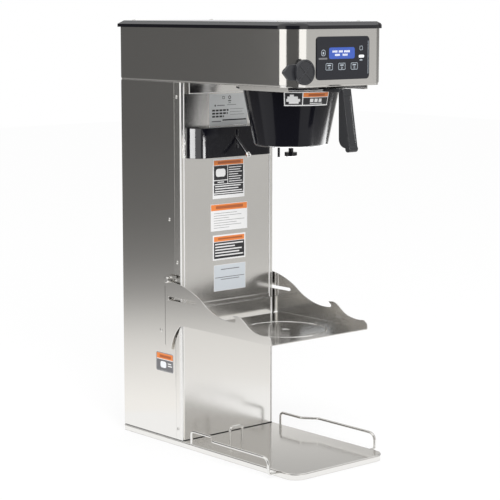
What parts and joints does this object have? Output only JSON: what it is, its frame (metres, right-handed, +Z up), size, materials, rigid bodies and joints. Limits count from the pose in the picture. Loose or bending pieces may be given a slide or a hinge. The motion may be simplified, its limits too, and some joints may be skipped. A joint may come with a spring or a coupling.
{
  "type": "iced tea brewer",
  "caption": "Tall commercial iced tea brewer: head with control panel and funnel over a trunk, a flip-up dispenser tray and a flat base with wire guides.",
  "frame": {"origin": "middle of the base footprint, on the surface the rubber feet stand on", "axes": "+Z up, the control panel faces -Y, +X is to the right of someone facing the panel"},
  "size_m": [0.3308, 0.6386, 0.9532],
  "materials": {
    "steel": "brushed stainless sheet, grain vertical",
    "bright_steel": "bright turned or drawn stainless",
    "black_trim": "satin black moulding",
    "grey_plastic": "pale satin lid",
    "black_plastic": "satin black moulding",
    "panel_black": "printed satin membrane",
    "display": "blue backlit display window",
    "button_black": "matt keys with pale outlines",
    "label_white": "plain paper or film label",
    "plate_silver": "satin foil plate, bare",
    "rubber": "matt rubber",
    "brass": "plain machined brass",
    "clear_hose": "translucent silicone hose",
    "board_green": "coated circuit board",
    "white_plastic": "food-grade moulding"
  },
  "bodies": {
    "machine": {"base_pan": "steel", "brew_pipes": "clear_hose", "brew_valve": "brass", "casing_screws": "bright_steel", "control_board": "board_green", "control_overlay": "panel_black", "cross_channel": "steel", "data_plate": "plate_silver", "dilution_nozzle": "bright_steel", "dilution_pipe": "clear_hose", "dilution_shroud": "black_plastic", "dilution_valve": "brass", "display_window": "display", "drain_pipe": "clear_hose", "fill_pipe": "clear_hose", "front_labels": "label_white", "funnel_rails": "steel", "head_back_panel": "steel", "head_floor": "steel", "head_hood": "steel", "heating_element": "bright_steel", "hook_studs": "bright_steel", "inlet_fitting": "brass", "inlet_valve": "brass", "left_wire_guide": "steel", "lid_screws": "bright_steel", "limit_thermostat": "brass", "lower_front_cover": "steel", "nozzle_tip": "black_plastic", "pin_bushings": "white_plastic", "power_gland": "black_plastic", "rear_wire_stop": "steel", "right_wire_guide": "steel", "rotary_valve": "black_plastic", "rubber_feet": "rubber", "side_label": "label_white", "spray_head": "white_plastic", "switch_board": "board_green", "tank_gasket": "rubber", "tank_lid": "bright_steel", "tank_probes": "bright_steel", "tank_shelf": "steel", "top_lid": "grey_plastic", "top_trim": "black_trim", "trunk_housing": "steel", "upper_front_cover": "steel", "valve_base": "black_plastic", "water_tank": "bright_steel"},
    "guide pins": {"guide_pins": "bright_steel"},
    "flip tray": {"flip_tray": "steel"},
    "brew funnel": {"funnel_bowl": "black_plastic", "funnel_handle": "black_plastic", "drip_spout": "black_plastic", "tea_basket": "white_plastic", "funnel_label": "label_white"},
    "valve knob": {"pointer_knob": "black_plastic", "knob_cap": "black_plastic"},
    "left button": {"button_left": "button_black"},
    "middle button": {"button_middle": "button_black"},
    "right button": {"button_right": "button_black"}
  },
  "joints": [
    {"name": "tray_swing", "type": "hinge", "parent": "machine", "child": "guide pins", "pos_m": [0, 0.11835, 0.3372], "axis": [-1, 0, 0], "range_deg": [0, 90]},
    {"name": "tray_sink", "type": "slide", "parent": "guide pins", "child": "flip tray", "axis": [0, 1, 0], "range_m": [0, 0.0921]},
    {"name": "funnel_slide", "type": "slide", "parent": "machine", "child": "brew funnel", "axis": [0, -1, 0], "range_m": [0, 0.2]},
    {"name": "knob_turn", "type": "hinge", "parent": "machine", "child": "valve knob", "pos_m": [-0.117, -0.28655, 0.8505], "axis": [0, 1, 0], "range_deg": [0, 90]},
    {"name": "left_button_press", "type": "slide", "parent": "machine", "child": "left button", "axis": [0, 1, 0], "range_m": [0, 0.0005], "stiffness_N_per_m": 600, "springref_m": -0.0005},
    {"name": "middle_button_press", "type": "slide", "parent": "machine", "child": "middle button", "axis": [0, 1, 0], "range_m": [0, 0.0005], "stiffness_N_per_m": 600, "springref_m": -0.0005},
    {"name": "right_button_press", "type": "slide", "parent": "machine", "child": "right button", "axis": [0, 1, 0], "range_m": [0, 0.0005], "stiffness_N_per_m": 600, "springref_m": -0.0005}
  ],
  "couplings": [
    {"joint": "tray_sink", "follows": "tray_swing", "m_per_rad": 0.05857}
  ]
}
